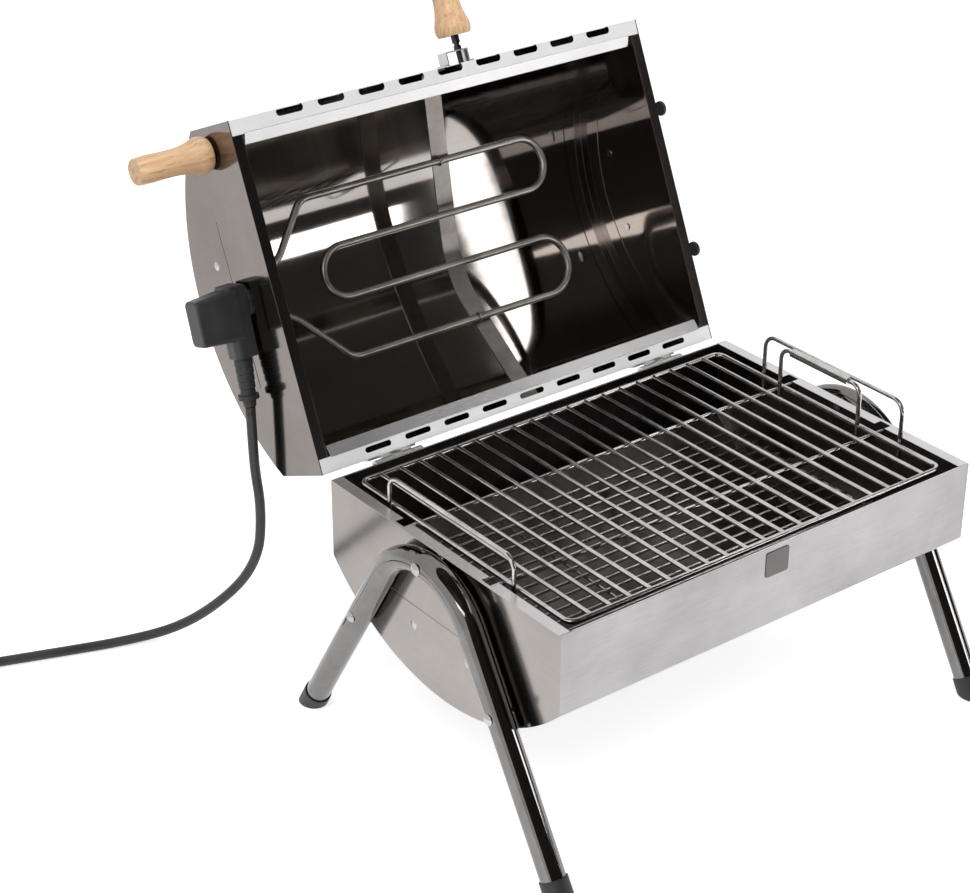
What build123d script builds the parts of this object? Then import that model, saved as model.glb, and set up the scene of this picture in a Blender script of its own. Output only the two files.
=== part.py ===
from build123d import *
import math
import os

# Folding camp grill: a half-barrel fire trough on two folding U legs, a matching
# hinged lid with an electric element inside, wire grates and a mains lead.
# Millimetres, +Z up.  X runs along the barrel, the hinge is at the back (+Y).

# ---- Trough ----
LENGTH = 450.0  # over the end plates
DEPTH = 306.0  # front to back
RIM_Z = 230.0  # rim above the ground
WALL = 73.0  # straight part of the side walls
BELLY = 65.0  # rise of the curved floor
CORNER = 3.0  # outside radius between wall and belly
SHEET = 0.8  # shell thickness
END_SHEET = 1.0  # end plate thickness
SEAM_GAP = 0.1  # between nested sheets
FLANGE = 8.0  # width of the end plates' turned edge
RIM_FLANGE = 10.0  # width of the end plates' turned-in rim
HEM = 8.0  # height of the doubled rim edge
HEM_GAP = 1.0  # between the hem's ends and the rim flange
CREASE_DROP = 66.0  # pressed line across the end plates, below the rim
CREASE_SHARE = 0.24  # of the depth, to each side of the middle
BADGE = (25.0, 23.0)
BADGE_SHEET = 0.6
BADGE_DROP = 16.0  # middle of the badge below the rim

# ---- Lid ----
LID_SHORTER = 2.0  # each lid end lies this far inside the trough's end
LID_DEEPER = 1.0  # each lid wall lies this far outside the trough's wall
LID_WALL = 68.0
LID_BELLY = 66.0
LID_GAP = 1.0  # between the closed rims
LID_OPEN = 114.0  # degrees
LID_END_FLANGE = 9.0  # turned-in rim of the lid's end plates
LID_FLANGE = 13.5  # turned-in long edges
LIP = 10.0  # second strip of the long edges, bent into the lid
LIP_ANGLE = 24.0
LIP_END_GAP = 12.0  # from the end plate to the end of the lip
SLOT_COUNT = 9
SLOT_LENGTH = 27.0
REAR_SLOT_WIDTH = 5.0
FRONT_SLOT_WIDTH = 7.0
SLOT_PITCH = 42.3
SLOT_SHIFT = 7.0  # middle of the slot row from the middle of the lid
REAR_SLOT_EDGE = 8.0  # slot centre from the rear edge
FRONT_SLOT_EDGE = 3.0  # the front slots run out over the fold
BEAD_INSET = 26.0  # pressed bead inside the right lid end
BEAD_WIDTH = 2.0
BEAD_RISE = 0.6
BUMPER_Y = 68.0  # from the lid's middle
BUMPER_B = 7.0  # above the lid's rim
BUMPER_OUT = 8.0  # length of the stem outside the end plate
BUMPER_RADIUS = 7.0
BUMPER_THICK = 3.5
STEM_RADIUS = 1.5
STEM_HEAD = 3.0

# ---- Hinges ----
HINGE_X = 150.0
HINGE_WIDTH = 50.0
PIN_OUT = 7.2  # pin centre behind the trough wall
PIN_DROP = 6.5  # pin centre below the rim
PIN_RADIUS = 2.0
PIN_CLEARANCE = 0.05
KNUCKLE_RADIUS = 4.5
KNUCKLE_GAP = 0.4
LEAF = 1.8
LEAF_HEIGHT = 25.0
BASE_LEAF = 1.2
STOP_REACH = 18.5  # where the stop tongue meets the base leaf, below the pin
STOP_ROOT = (13.5, -0.3)  # root of the tongue from the pin, lid open
STOP_HALF = 0.9  # half the tongue's thickness at its root
STOP_TIP = 2.2  # height of its tip
STOP_GAP = 0.3

# ---- Legs ----
TUBE_RADIUS = 11.0
TUBE_WALL = 1.2
LEG_GAP = 1.5  # between end plate and tube
ARCH_RADIUS = 69.0  # of the tube's centre line
PIVOT_DROP = 6.0  # pivot below the rim
FOOT_SPAN = 175.0  # half distance between the feet
CAP_WALL = 1.2  # foot cap around the tube
CAP_LENGTH = 18.0  # from the ground along the leg
CAP_BOTTOM = 9.0  # tube end from the ground along the leg
CAP_FIT = 0.05
BOLT_RADIUS = 2.5
BOLT_CLEARANCE = 0.05
BOLT_HEAD = (5.5, 2.8)  # radius and rise
NUT_HALF = 4.0  # half width over the flats
NUT_THICK = 4.0
WASHER_RADIUS = 5.8
WASHER_THICK = 0.8
DETENT_Z = 132.0
DETENT_HEAD = (5.0, 2.6)
DETENT_TAIL = (3.5, 1.1)
FACE_GAP = 0.05  # between faces that touch

# ---- Rivets ----
RIVET_RADIUS = 2.0
RIVET_HEAD = 4.0
RIVET_RISE = 1.1
RIVET_SPACING = 72.8
RIVET_DROP = 85.4  # below the rim
PEEN = 1.0  # height of the closed end of a rivet
FIT = 0.05  # fixed shank in its hole

# ---- Grates ----
GRATE_END_GAP = 21.0  # end plate's outer face to the frame's centre line
GRATE_SIDE_GAP = 13.0  # trough wall to the frame's centre line
GRATE_DROP = 0.5  # top of the bars below the rim
GRATE_SPACES = 20
GRATE_CORNER = 8.0
WIRE = 2.0  # bar radius
FRAME_WIRE = 2.5
WELD = 0.3  # crossing wires sink this far into each other
ROD_Y = 58.0  # the two long rods that carry the grate
ROD_END_GAP = 4.5  # end plate's outer face to the rod's end
ROD_NOTCH = 6.0  # half width of the notch that a rod lies in
ROD_PLAY = 1.5  # beyond the rod's end
ROD_SHELF = 8.0  # length of the tongue under a rod's end
REST_GAP = 0.3
FIRE_END_GAP = 14.0
FIRE_SIDE_GAP = 35.0
FIRE_WIRE = 1.6
FIRE_SPACES = 16
FIRE_OVERHANG = 4.0  # of the cross wires past the last long wire
FIRE_CROSS_END = 3.0  # outer cross wires from the ends of the long wires
SHELF_DROP = 81.0  # top of the brackets below the rim
SHELF_WIDTH = 18.0
SHELF_LENGTH = 100.0
SHELF_SHEET = 1.0
SHELF_BELOW = 9.0  # of the bracket below its rivets
BAIL_WIRE = 2.0
HANDLE_FOOT = 12.0  # handle wires reach this far below the rods
LEFT_BAIL = (-76.0, 91.0, 26.0)  # front, back and height above the rim
RIGHT_BAIL = (-88.0, 83.0, 37.0)
INNER_BAIL = (-45.0, 53.0, 38.0)
INNER_BAIL_FOOT = 8.0
BAIL_BEND = 12.0
INNER_BAIL_BEND = 10.0
GRIP_RADIUS = 4.0
GRIP_INSET = 13.5  # from the inner bail's corners to the grip's ends

# ---- Heating element and its strip ----
ELEMENT_RADIUS = 3.25
ELEMENT_DEEP = 60.0  # from the lid's rim plane
RUN_PLACES = (74.0, 26.0, -20.0, -73.0)  # from the lid's middle to the front
ELEMENT_RIGHT_GAP = 99.0  # right lid end to the right bends
ELEMENT_LEFT_GAP = 87.0
FIRST_BEND_GAP = 82.0  # left lid end to the bend of the first run
LAST_BEND_GAP = 95.0
TERMINAL_PLACES = (18.0, -12.0)
TERMINAL_DEPTH = 16.0
TERMINAL_RIM = 9.0  # of the block around the terminals
TERMINAL_HEIGHT = 11.0
ELEMENT_BEND = 18.0
STRIP_X = 15.0
STRIP_WIDTH = 18.0
STRIP_SHEET = 1.5
STRIP_REAR_SLOPE = 0.62
STRIP_FRONT_SLOPE = 0.24
STRIP_FOOT = 12.0
STRIP_BOW = 100.0
CLIP_WIRE = 0.8
CLIP_SHIFT = -4.0  # from the strip's middle

# ---- Mains inlet, connector and lead ----
INLET_SHIFT = 3.0  # from the lid's middle to the front
INLET_B = 55.0
INLET_RADIUS = 15.0
INLET_BODY = 11.0
INLET_FLANGE = 2.5
CONNECTOR_LEAN = 18.0  # degrees, its foot to the front
COLUMN_TOP = 17.0  # above the inlet's middle
COLUMN_FOOT = 46.0  # below it
COLUMN_WIDTH = 23.0
COLUMN_DEEP = 19.5
COLUMN_EDGE = 7.0
GRIP_NEAR = (26.0, 46.0)
GRIP_FAR = (22.0, 40.0)
GRIP_DROP = 8.0  # middle of the grip below the inlet's middle
GRIP_LONG = 29.0
SLEEVE_END = (-14.0, -25.676, -86.17)  # start of the lead from the inlet, lid open
SLEEVE_RADIUS = 8.6
SLEEVE_RIBS = 4
CORD_RADIUS = 4.5
COIL_CENTRE = (-530.0, 374.0)
COIL_TURN = 45.0  # middle turn
COIL_LAYERS = 2
COIL_COLUMNS = 3
CORD_ROUTE = [  # from under the strain relief to the coil
    (-237.0, 257.3, 231.5),
    (-236.5, 256.4, 197.0),
    (-234.6, 253.5, 170.0),
    (-234.9, 253.8, 142.0),
    (-236.6, 256.5, 117.0),
    (-243.0, 267.0, 89.0),
    (-254.6, 285.0, 62.0),
    (-272.0, 313.0, 31.0),
    (-291.0, 341.0, 9.0),
    (-330.0, 357.0, 4.5),
    (-365.0, 369.0, 4.5),
    (-402.0, 386.0, 4.5),
    (-453.0, 405.2, 4.5),
    (-504.0, 422.6, 4.5),
]
TAIL_DROP = 52.0  # coil's middle to the back of the plug
PLUG_RADIUS = 18.5
PLUG_PROFILE = ((20.0, 7.0), (22.0, 10.0), (34.0, 12.0), (44.0, 16.5), (46.0, 18.5), (62.0, 18.5))
PIN_HALF_PITCH = 9.5
PLUG_PIN_RADIUS = 2.4
PLUG_PIN_LONG = 19.0  # outside the plug's face

# ---- Handles ----
HANDLE_LENGTH = 70.0
HANDLE_FOOT_RADIUS = 14.5
HANDLE_FLARE = 16.3
HANDLE_NECK = 11.6
HANDLE_SWELL = 12.0
HANDLE_EDGE = 2.0
HANDLE_BOLT = 2.5
HANDLE_BORE = 35.0
BOLT_IN_WOOD = 34.0
SCREW_HEAD = (4.5, 3.0)  # radius and height
SIDE_WASHER = (8.0, 2.5)
SIDE_HANDLE_EDGE = 22.0  # from the lid's front wall
SIDE_HANDLE_B = 45.6
FRONT_HANDLE_X = 27.0
FRONT_HANDLE_B = 10.0
BRACKET_HEIGHT = 12.0
BRACKET_SHEET = 1.2
BRACKET_WIDTH = 24.0
BRACKET_SHIFT = -6.5  # its middle from the bolt
BRACKET_DEEP = 14.0
BRACKET_EAR = 4.0
FRONT_STEM = 25.0  # lid wall to the wood
STEM_NUT = (3.4, 3.5)
SPACER = (3.6, 7.0)

# ---- Worked out ----
BACK = DEPTH / 2
LID_LENGTH = LENGTH - 2 * LID_SHORTER
LID_DEPTH = DEPTH + 2 * LID_DEEPER
LID_BACK = LID_DEPTH / 2
LID_RIM_Z = RIM_Z + LID_GAP
PIN_Y = BACK + PIN_OUT
PIN_Z = RIM_Z - PIN_DROP
PIN = Axis((0, PIN_Y, PIN_Z), (1, 0, 0))
PIVOT_Z = RIM_Z - PIVOT_DROP
ARCH_Z = PIVOT_Z - ARCH_RADIUS
LEG_X = LENGTH / 2 + LEG_GAP + TUBE_RADIUS
LID_END = LID_LENGTH / 2
GRATE_X = LENGTH / 2 - GRATE_END_GAP
GRATE_Y = BACK - GRATE_SIDE_GAP
GRATE_TOP = RIM_Z - GRATE_DROP
ROD_END = LENGTH / 2 - ROD_END_GAP
FIRE_X = LENGTH / 2 - FIRE_END_GAP
FIRE_Y = BACK - FIRE_SIDE_GAP
SHELF_Z = RIM_Z - SHELF_DROP
ELEMENT_RUNS = [LID_BACK + place for place in RUN_PLACES]
TERMINALS = [LID_BACK + place for place in TERMINAL_PLACES]
INLET_A = LID_BACK + INLET_SHIFT
SIDE_HANDLE_A = LID_DEPTH - SIDE_HANDLE_EDGE
nodes = {}


def block(x, y, z):
    """Box between two values on each axis."""
    low = Vector(min(x), min(y), min(z))
    size = Vector(max(x), max(y), max(z)) - low
    return Pos(low) * Box(size.X, size.Y, size.Z, align=(Align.MIN,) * 3)


def rod(start, end, radius):
    """Round bar between two points."""
    way = Vector(*end) - Vector(*start)
    return extrude(Plane(origin=start, z_dir=way) * Circle(radius), way.length)


def dome(base, way, radius, rise):
    """Round screw or rivet head standing on `base`, its top towards `way`."""
    ball = (radius**2 + rise**2) / (2 * rise)
    half = math.asin(radius / ball) / 2
    middle = (ball * math.sin(half), rise - ball + ball * math.cos(half))
    arc = ThreePointArc((radius, 0), middle, (0, rise))
    profile = make_face(Curve() + [arc, Polyline((0, rise), (0, 0), (radius, 0))])
    return Plane(origin=base, z_dir=way) * revolve(Plane.XZ * profile, Axis.Z)


def pipe(path, radius):
    """Round bar along a path."""
    return sweep(Plane(origin=path @ 0, z_dir=path % 0) * Circle(radius), path=path)


def bent_wire(points, bend, radius):
    """Round wire through points, with one bend radius or a list of them."""
    bends = bend if isinstance(bend, list) else [bend] * (len(points) - 2)
    return pipe(FilletPolyline(*points, radius=bends), radius)


def barrel(depth, wall, belly, inset=0.0, top=0.0):
    """Outline of the half barrel: rim at height `top`, belly downwards."""
    half = depth / 2 - inset
    arc = (depth**2 / 4 + belly**2) / (2 * belly)
    centre = arc - wall - belly
    corner = centre - math.sqrt((arc - inset) ** 2 - half**2)
    bottom = centre - arc + inset
    edges = Curve() + [
        Polyline((half, corner), (half, top), (-half, top), (-half, corner)),
        ThreePointArc((-half, corner), (0, bottom), (half, corner)),
    ]
    face = make_face(edges)
    return fillet(face.vertices().sort_by(Axis.Y)[:2], max(CORNER - inset, 0.5))


def upright(outline, start, thickness):
    """An outline stood up across the barrel and extruded along +X."""
    return extrude(Plane.YZ.offset(start) * outline, thickness)


def shell(depth, wall, belly, length):
    """Bent sheet between the end plates, rim at z = 0."""
    inner = barrel(depth, wall, belly, SHEET, 1.0)
    sheet = barrel(depth, wall, belly) - inner
    return upright(sheet, -length / 2, length)


def end_plate(depth, wall, belly, rim_flange, rim_ends):
    """Left end plate, outer face at x = 0, rim at z = 0, with its turned edges.

    The edge inside the shell stops below `rim_ends`, and the rim flange is that
    much shorter than the plate at the front and at the back.
    """
    inner = SHEET + SEAM_GAP
    plate = upright(barrel(depth, wall, belly), 0, END_SHEET)
    edge = barrel(depth, wall, belly, inner)
    edge -= barrel(depth, wall, belly, inner + END_SHEET, 1.0)
    ring = upright(edge, 0, END_SHEET + FLANGE)
    if rim_ends > inner:
        ring -= block((END_SHEET, depth), (-depth, depth), (-END_SHEET - SEAM_GAP, 1))
    reach = depth / 2 - rim_ends
    rim = block((0, END_SHEET + rim_flange), (-reach, reach), (-END_SHEET, 0))
    across = CREASE_SHARE * depth
    crease = block((-0.2, 0.3), (-across, across), (-CREASE_DROP, 1.4 - CREASE_DROP))
    return plate + ring + rim - crease


def rivet_places():
    """Front and back place of the two rivets in each end plate, from its middle."""
    return (-RIVET_SPACING / 2, RIVET_SPACING / 2)


def rivet_holes(plate):
    """An end plate with its two rivet holes."""
    for place in rivet_places():
        plate -= rod((-1, place, -RIVET_DROP), (9, place, -RIVET_DROP), RIVET_RADIUS + FIT)
    return plate


def rivet(inner_side):
    """Rivet along X through x = 0, its flat dome outwards (-X)."""
    head = dome((0, 0, 0), (-1, 0, 0), RIVET_HEAD, RIVET_RISE)
    tail = rod((0, 0, 0), (inner_side, 0, 0), RIVET_RADIUS)
    peen = rod((inner_side, 0, 0), (inner_side + PEEN, 0, 0), RIVET_HEAD - 1.0)
    return head + tail + peen


def both_ends(make):
    """A left-hand shape and its mirror image."""
    left = make()
    return left, mirror(left, about=Plane.YZ)


def lid_point(x, a, b):
    """Point of the closed lid: a from the hinge edge, b above its rim."""
    return (x, LID_BACK - a, LID_RIM_Z + b)


def lid_block(x, a, b):
    """Box in the closed lid."""
    y = (LID_BACK - a[0], LID_BACK - a[1])
    return block(x, y, (LID_RIM_Z + b[0], LID_RIM_Z + b[1]))


def open_lid(shape):
    """Turn a closed-lid shape to the open lid."""
    return shape.rotate(PIN, -LID_OPEN)


# ---- Trough ----
def make_trough():
    body = shell(DEPTH, WALL, BELLY, LENGTH - 2 * END_SHEET)
    hem_x = LENGTH / 2 - END_SHEET - RIM_FLANGE - HEM_GAP
    for side in (-1, 1):
        wall = side * (BACK - SHEET)
        body += block((-hem_x, hem_x), (wall - side * SHEET, wall), (-HEM, 0))
    nodes["trough_shell"] = Pos(0, 0, RIM_Z) * body

    plate = rivet_holes(end_plate(DEPTH, WALL, BELLY, RIM_FLANGE, SHEET + SEAM_GAP))
    plate -= rod((-1, 0, -PIVOT_DROP), (9, 0, -PIVOT_DROP), BOLT_RADIUS + FIT)
    rod_bottom = GRATE_TOP - 2 * WIRE - 2 * FRAME_WIRE + WELD
    rest = rod_bottom - REST_GAP - RIM_Z
    for place in (-ROD_Y, ROD_Y):
        span = (place - ROD_NOTCH, place + ROD_NOTCH)
        notch = (ROD_END_GAP - ROD_PLAY, END_SHEET + RIM_FLANGE + 1)
        plate -= block(notch, span, (-END_SHEET - 1, 1))
        tongue = (END_SHEET / 2, ROD_END_GAP + ROD_PLAY + ROD_SHELF)
        plate += block(tongue, span, (rest - END_SHEET, rest))
    plate = Pos(-LENGTH / 2, 0, RIM_Z) * plate
    nodes["trough_end_left"] = plate
    nodes["trough_end_right"] = mirror(plate, about=Plane.YZ)

    badge = Plane.XZ.offset(BACK) * RectangleRounded(*BADGE, 2)
    nodes["badge_plate"] = Pos(1, 0, RIM_Z - BADGE_DROP) * extrude(badge, BADGE_SHEET)

    inside = END_SHEET + SHELF_SHEET

    def fixings():
        return Compound(
            [
                Pos(-LENGTH / 2, y, RIM_Z - RIVET_DROP) * rivet(inside)
                for y in rivet_places()
            ]
        )

    def shelf():
        face = -LENGTH / 2 + END_SHEET
        half = SHELF_LENGTH / 2
        rivets = RIM_Z - RIVET_DROP
        back = block((face, face + SHELF_SHEET), (-half, half), (rivets - SHELF_BELOW, SHELF_Z))
        top = (SHELF_Z - SHELF_SHEET, SHELF_Z)
        bracket = back + block((face, face + SHELF_WIDTH), (-half, half), top)
        for y in rivet_places():
            hole = rod((face - 1, y, rivets), (face + 5, y, rivets), RIVET_RADIUS + FIT)
            bracket -= hole
        return bracket

    # The closed ends of the rivets stand under the shelf.
    nodes["trough_rivets"] = Compound(list(both_ends(fixings)))
    nodes["fire_grate_brackets"] = Compound(list(both_ends(shelf)))


# ---- Legs ----
def leg_points():
    """Foot, tangent point and crown of the leg's centre line, back half."""
    away = math.hypot(FOOT_SPAN, ARCH_Z)
    turn = math.atan2(-ARCH_Z, FOOT_SPAN) + math.acos(ARCH_RADIUS / away)
    touch = (ARCH_RADIUS * math.cos(turn), ARCH_Z + ARCH_RADIUS * math.sin(turn))
    return (FOOT_SPAN, 0.0), touch


def cross_hole(x, y, z, radius):
    """Cutter along X through a leg tube."""
    return rod((x - 2 * TUBE_RADIUS, y, z), (x + 2 * TUBE_RADIUS, y, z), radius)


def make_detent(y):
    """Domed cross pin of a leg."""
    outer = LEG_X + TUBE_RADIUS + FACE_GAP
    inner = LEG_X - TUBE_RADIUS - FACE_GAP
    shank = rod((inner, y, DETENT_Z), (outer + 1, y, DETENT_Z), BOLT_RADIUS)
    head = dome((outer, y, DETENT_Z), (1, 0, 0), *DETENT_HEAD)
    tail = dome((inner, y, DETENT_Z), (-1, 0, 0), *DETENT_TAIL)
    return shank + head + tail


def make_cap(foot, way):
    """Rubber cap on a leg's end, cut level with the ground; `way` points up the leg."""
    outer = TUBE_RADIUS + CAP_WALL
    cap = rod(foot - way * outer, foot + way * CAP_LENGTH, outer)
    cap -= rod(foot + way * (CAP_BOTTOM - CAP_FIT), foot + way * 60, TUBE_RADIUS + CAP_FIT)
    cap = fillet(cap.edges().filter_by(GeomType.CIRCLE).sort_by(Axis.Z)[-2:], CAP_WALL / 4)
    return cap - block((LEG_X - 40, LEG_X + 40), (foot.Y - 60, foot.Y + 60), (-40, 0))


def make_pivot():
    """Bolt, nut and washer of the right leg."""
    outside = LENGTH / 2
    inside = outside - END_SHEET - FACE_GAP
    head = LEG_X + TUBE_RADIUS + STOP_GAP
    bolt = rod((inside - NUT_THICK - 1, 0, PIVOT_Z), (head + 1, 0, PIVOT_Z), BOLT_RADIUS)
    bolt += dome((head, 0, PIVOT_Z), (1, 0, 0), *BOLT_HEAD)
    bore = rod((inside - 9, 0, PIVOT_Z), (head, 0, PIVOT_Z), BOLT_RADIUS + FIT)
    plane = Plane(origin=(inside, 0, PIVOT_Z), x_dir=(0, 0, 1), z_dir=(-1, 0, 0))
    nut = extrude(plane * RegularPolygon(NUT_HALF, 6, major_radius=False), NUT_THICK)
    face = outside + FACE_GAP
    washer = rod((face, 0, PIVOT_Z), (face + WASHER_THICK, 0, PIVOT_Z), WASHER_RADIUS)
    return {"bolts": bolt, "nuts": nut - bore, "washers": washer - bore}


def make_legs():
    (foot_y, foot_z), (touch_y, touch_z) = leg_points()
    run = Vector(0, foot_y - touch_y, foot_z - touch_z)
    down = run.normalized()
    touch = Vector(LEG_X, touch_y, touch_z)
    end = touch + down * (run.length - CAP_BOTTOM)

    def flip(p):
        return Vector(p.X, -p.Y, p.Z)

    path = Wire(
        [
            Edge.make_line(flip(end), flip(touch)),
            Edge.make_three_point_arc(flip(touch), Vector(LEG_X, 0, PIVOT_Z), touch),
            Edge.make_line(touch, end),
        ]
    )
    tube = pipe(path, TUBE_RADIUS) - pipe(path, TUBE_RADIUS - TUBE_WALL)
    tube -= cross_hole(LEG_X, 0, PIVOT_Z, BOLT_RADIUS + BOLT_CLEARANCE)
    detent_y = touch_y + (touch_z - DETENT_Z) * down.Y / -down.Z
    for side in (-1, 1):
        tube -= cross_hole(LEG_X, side * detent_y, DETENT_Z, BOLT_RADIUS + FIT)
    caps = [
        make_cap(Vector(LEG_X, side * foot_y, 0), Vector(0, -side * down.Y, -down.Z))
        for side in (-1, 1)
    ]
    right = {
        "leg_tube": tube,
        "foot_caps": Compound(caps),
        "leg_detents": Compound([make_detent(side * detent_y) for side in (-1, 1)]),
    }
    for name, shape in right.items():
        nodes["right_" + name] = shape
        nodes["left_" + name] = mirror(shape, about=Plane.YZ)
    for name, shape in make_pivot().items():
        nodes["leg_pivot_" + name] = Compound([mirror(shape, about=Plane.YZ), shape])


# ---- Grates ----
def bail(x, places, foot, bend):
    """Wire handle across the barrel: up, along and down again."""
    front, back, rise = places
    top = RIM_Z + rise
    points = [(x, back, foot), (x, back, top), (x, front, top), (x, front, foot)]
    return bent_wire(points, bend, BAIL_WIRE)


def make_grates():
    level = GRATE_TOP - FRAME_WIRE
    rod_z = GRATE_TOP - 2 * WIRE - FRAME_WIRE + WELD
    frame = RectangleRounded(2 * GRATE_X, 2 * GRATE_Y, GRATE_CORNER)
    loop = Pos(0, 0, level) * frame.face().outer_wire()
    grate = pipe(loop, FRAME_WIRE)
    pitch = 2 * GRATE_X / GRATE_SPACES
    bars = [
        rod((x, -GRATE_Y, GRATE_TOP - WIRE), (x, GRATE_Y, GRATE_TOP - WIRE), WIRE)
        for x in (-GRATE_X + pitch * i for i in range(1, GRATE_SPACES))
    ]
    rods = [
        rod((-ROD_END, y, rod_z), (ROD_END, y, rod_z), FRAME_WIRE)
        for y in (-ROD_Y, ROD_Y)
    ]
    nodes["cooking_grate"] = grate.fuse(*bars, *rods)

    beside = FRAME_WIRE + BAIL_WIRE + FACE_GAP
    foot = rod_z - HANDLE_FOOT
    nodes["grate_handle_left"] = bail(-GRATE_X - beside, LEFT_BAIL, foot, BAIL_BEND)
    nodes["grate_handle_right"] = bail(GRATE_X + beside, RIGHT_BAIL, foot, BAIL_BEND)
    inner_x = GRATE_X - beside
    inner_foot = GRATE_TOP - INNER_BAIL_FOOT
    nodes["grate_bail_right"] = bail(inner_x, INNER_BAIL, inner_foot, INNER_BAIL_BEND)
    front, back, rise = INNER_BAIL
    top = RIM_Z + rise
    grip = rod((inner_x, back - GRIP_INSET, top), (inner_x, front + GRIP_INSET, top), GRIP_RADIUS)
    nodes["grate_grip"] = grip - rod((inner_x, back, top), (inner_x, front, top), BAIL_WIRE + FIT)

    fire_z = SHELF_Z + REST_GAP + 3 * FIRE_WIRE - WELD
    fire = [
        rod((-FIRE_X, y, fire_z), (FIRE_X, y, fire_z), FIRE_WIRE)
        for y in (-FIRE_Y + 2 * FIRE_Y / FIRE_SPACES * i for i in range(FIRE_SPACES + 1))
    ]
    low = fire_z - 2 * FIRE_WIRE + WELD
    across = FIRE_Y + FIRE_OVERHANG
    outer = FIRE_X - FIRE_CROSS_END
    cross = [
        rod((x, -across, low), (x, across, low), FIRE_WIRE)
        for x in (-outer, -FIRE_X / 3, FIRE_X / 3, outer)
    ]
    nodes["fire_grate"] = fire[0].fuse(*fire[1:], *cross)


# ---- Hinges ----
def knuckles(spans, bore):
    """Knuckle tubes along X and the cutter for their bore."""
    bars = [rod((a, 0, 0), (b, 0, 0), KNUCKLE_RADIUS) for a, b in spans]
    body = bars[0].fuse(*bars[1:]) if len(bars) > 1 else bars[0]
    return body, rod((-HINGE_WIDTH, 0, 0), (HINGE_WIDTH, 0, 0), bore)


def make_hinges():
    part = HINGE_WIDTH / 5
    trim = KNUCKLE_GAP / 2
    half = HINGE_WIDTH / 2
    spans = [(-half + part * i + trim, -half + part * (i + 1) - trim) for i in range(5)]
    bore = PIN_RADIUS + PIN_CLEARANCE

    base_spans = spans[0::2]
    tubes, hole = knuckles(base_spans, bore)
    low = -KNUCKLE_RADIUS
    on_wall = (-PIN_OUT, -PIN_OUT + BASE_LEAF)
    leaf = block((-half, half), on_wall, (low - LEAF_HEIGHT, low + BASE_LEAF))
    for span in base_spans:
        leaf += block(span, (-PIN_OUT, 0), (low, low + BASE_LEAF))
    base = leaf + tubes - hole

    lid_spans = spans[1::2]
    tubes, hole = knuckles(lid_spans, bore)
    wall = LID_BACK - PIN_Y + FACE_GAP
    high = LID_RIM_Z - PIN_Z + LEAF_HEIGHT
    lid_low = LID_RIM_Z - PIN_Z + 1
    leaf = block((-half, half), (wall, wall + LEAF), (lid_low, high))
    for span in lid_spans:
        leaf += block(span, (wall, wall + LEAF), (0, high))
    # The stop tongue is drawn where it lies with the lid open, then turned back.
    tip = Vector(-PIN_OUT + BASE_LEAF + STOP_GAP, -STOP_REACH)
    root = Vector(*STOP_ROOT)
    side = (root - tip).rotate(Axis.Z, 90).normalized() * STOP_HALF
    tongue = Polyline(tip, root + side, root - side, tip - Vector(0, STOP_TIP), close=True)
    tongue = extrude(Plane.YZ.offset(-part) * make_face(tongue), 2 * part)
    tongue = tongue.rotate(Axis.X, LID_OPEN)
    moving = leaf + tubes + tongue - hole

    pin = rod((-half - 1, 0, 0), (half + 1, 0, 0), PIN_RADIUS)
    places = [Pos(x, PIN_Y, PIN_Z) for x in (-HINGE_X, HINGE_X)]
    nodes["hinge_base_leaves"] = Compound([p * base for p in places])
    nodes["hinge_lid_leaves"] = open_lid(Compound([p * moving for p in places]))
    nodes["hinge_pins"] = Compound([p * pin for p in places])


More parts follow.
